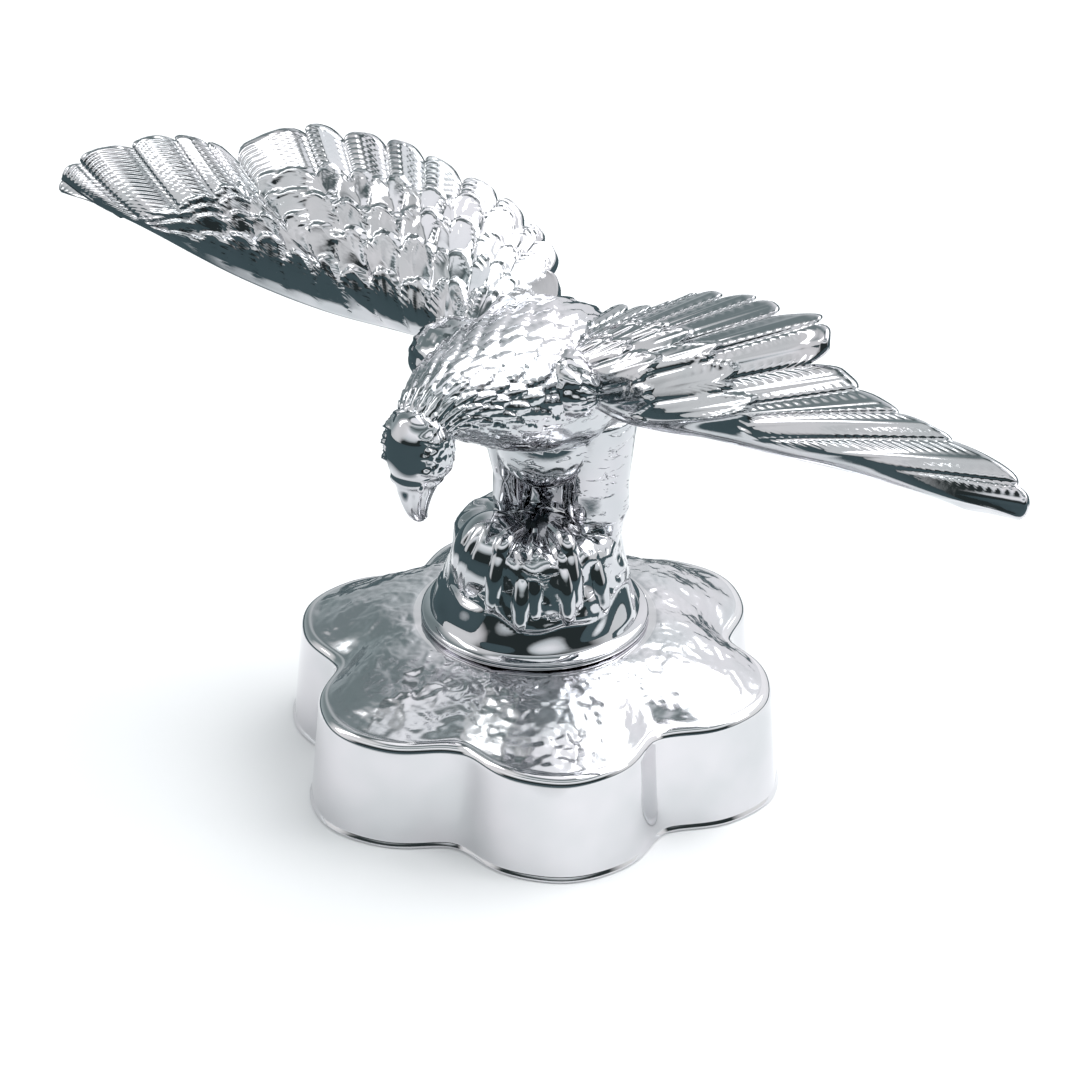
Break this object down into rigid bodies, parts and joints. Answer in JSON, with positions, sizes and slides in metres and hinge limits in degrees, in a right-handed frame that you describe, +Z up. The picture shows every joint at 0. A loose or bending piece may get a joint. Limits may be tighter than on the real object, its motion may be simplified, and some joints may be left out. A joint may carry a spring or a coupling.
{
  "type": "eagle topper",
  "caption": "Chromed eagle ornament: an eagle with spread wings and bowed head grips a rock perch that is seated on a lobed, cap-shaped base with a hammered top",
  "frame": {"origin": "centre of the base's flat underside, on the surface that the topper stands on", "axes": "+Z up, the eagle faces -Y, the wings spread along X, +X is the eagle's left wing"},
  "size_m": [0.2332, 0.1014, 0.1186],
  "materials": {
    "chrome_base": "bright chrome plate, mirror-smooth sides and a hammered top",
    "chrome_figure": "bright chrome plate over a feathered casting"
  },
  "bodies": {
    "root": {"lobed_base": "chrome_base", "eagle_on_rock_perch": "chrome_figure"}
  },
  "joints": []
}
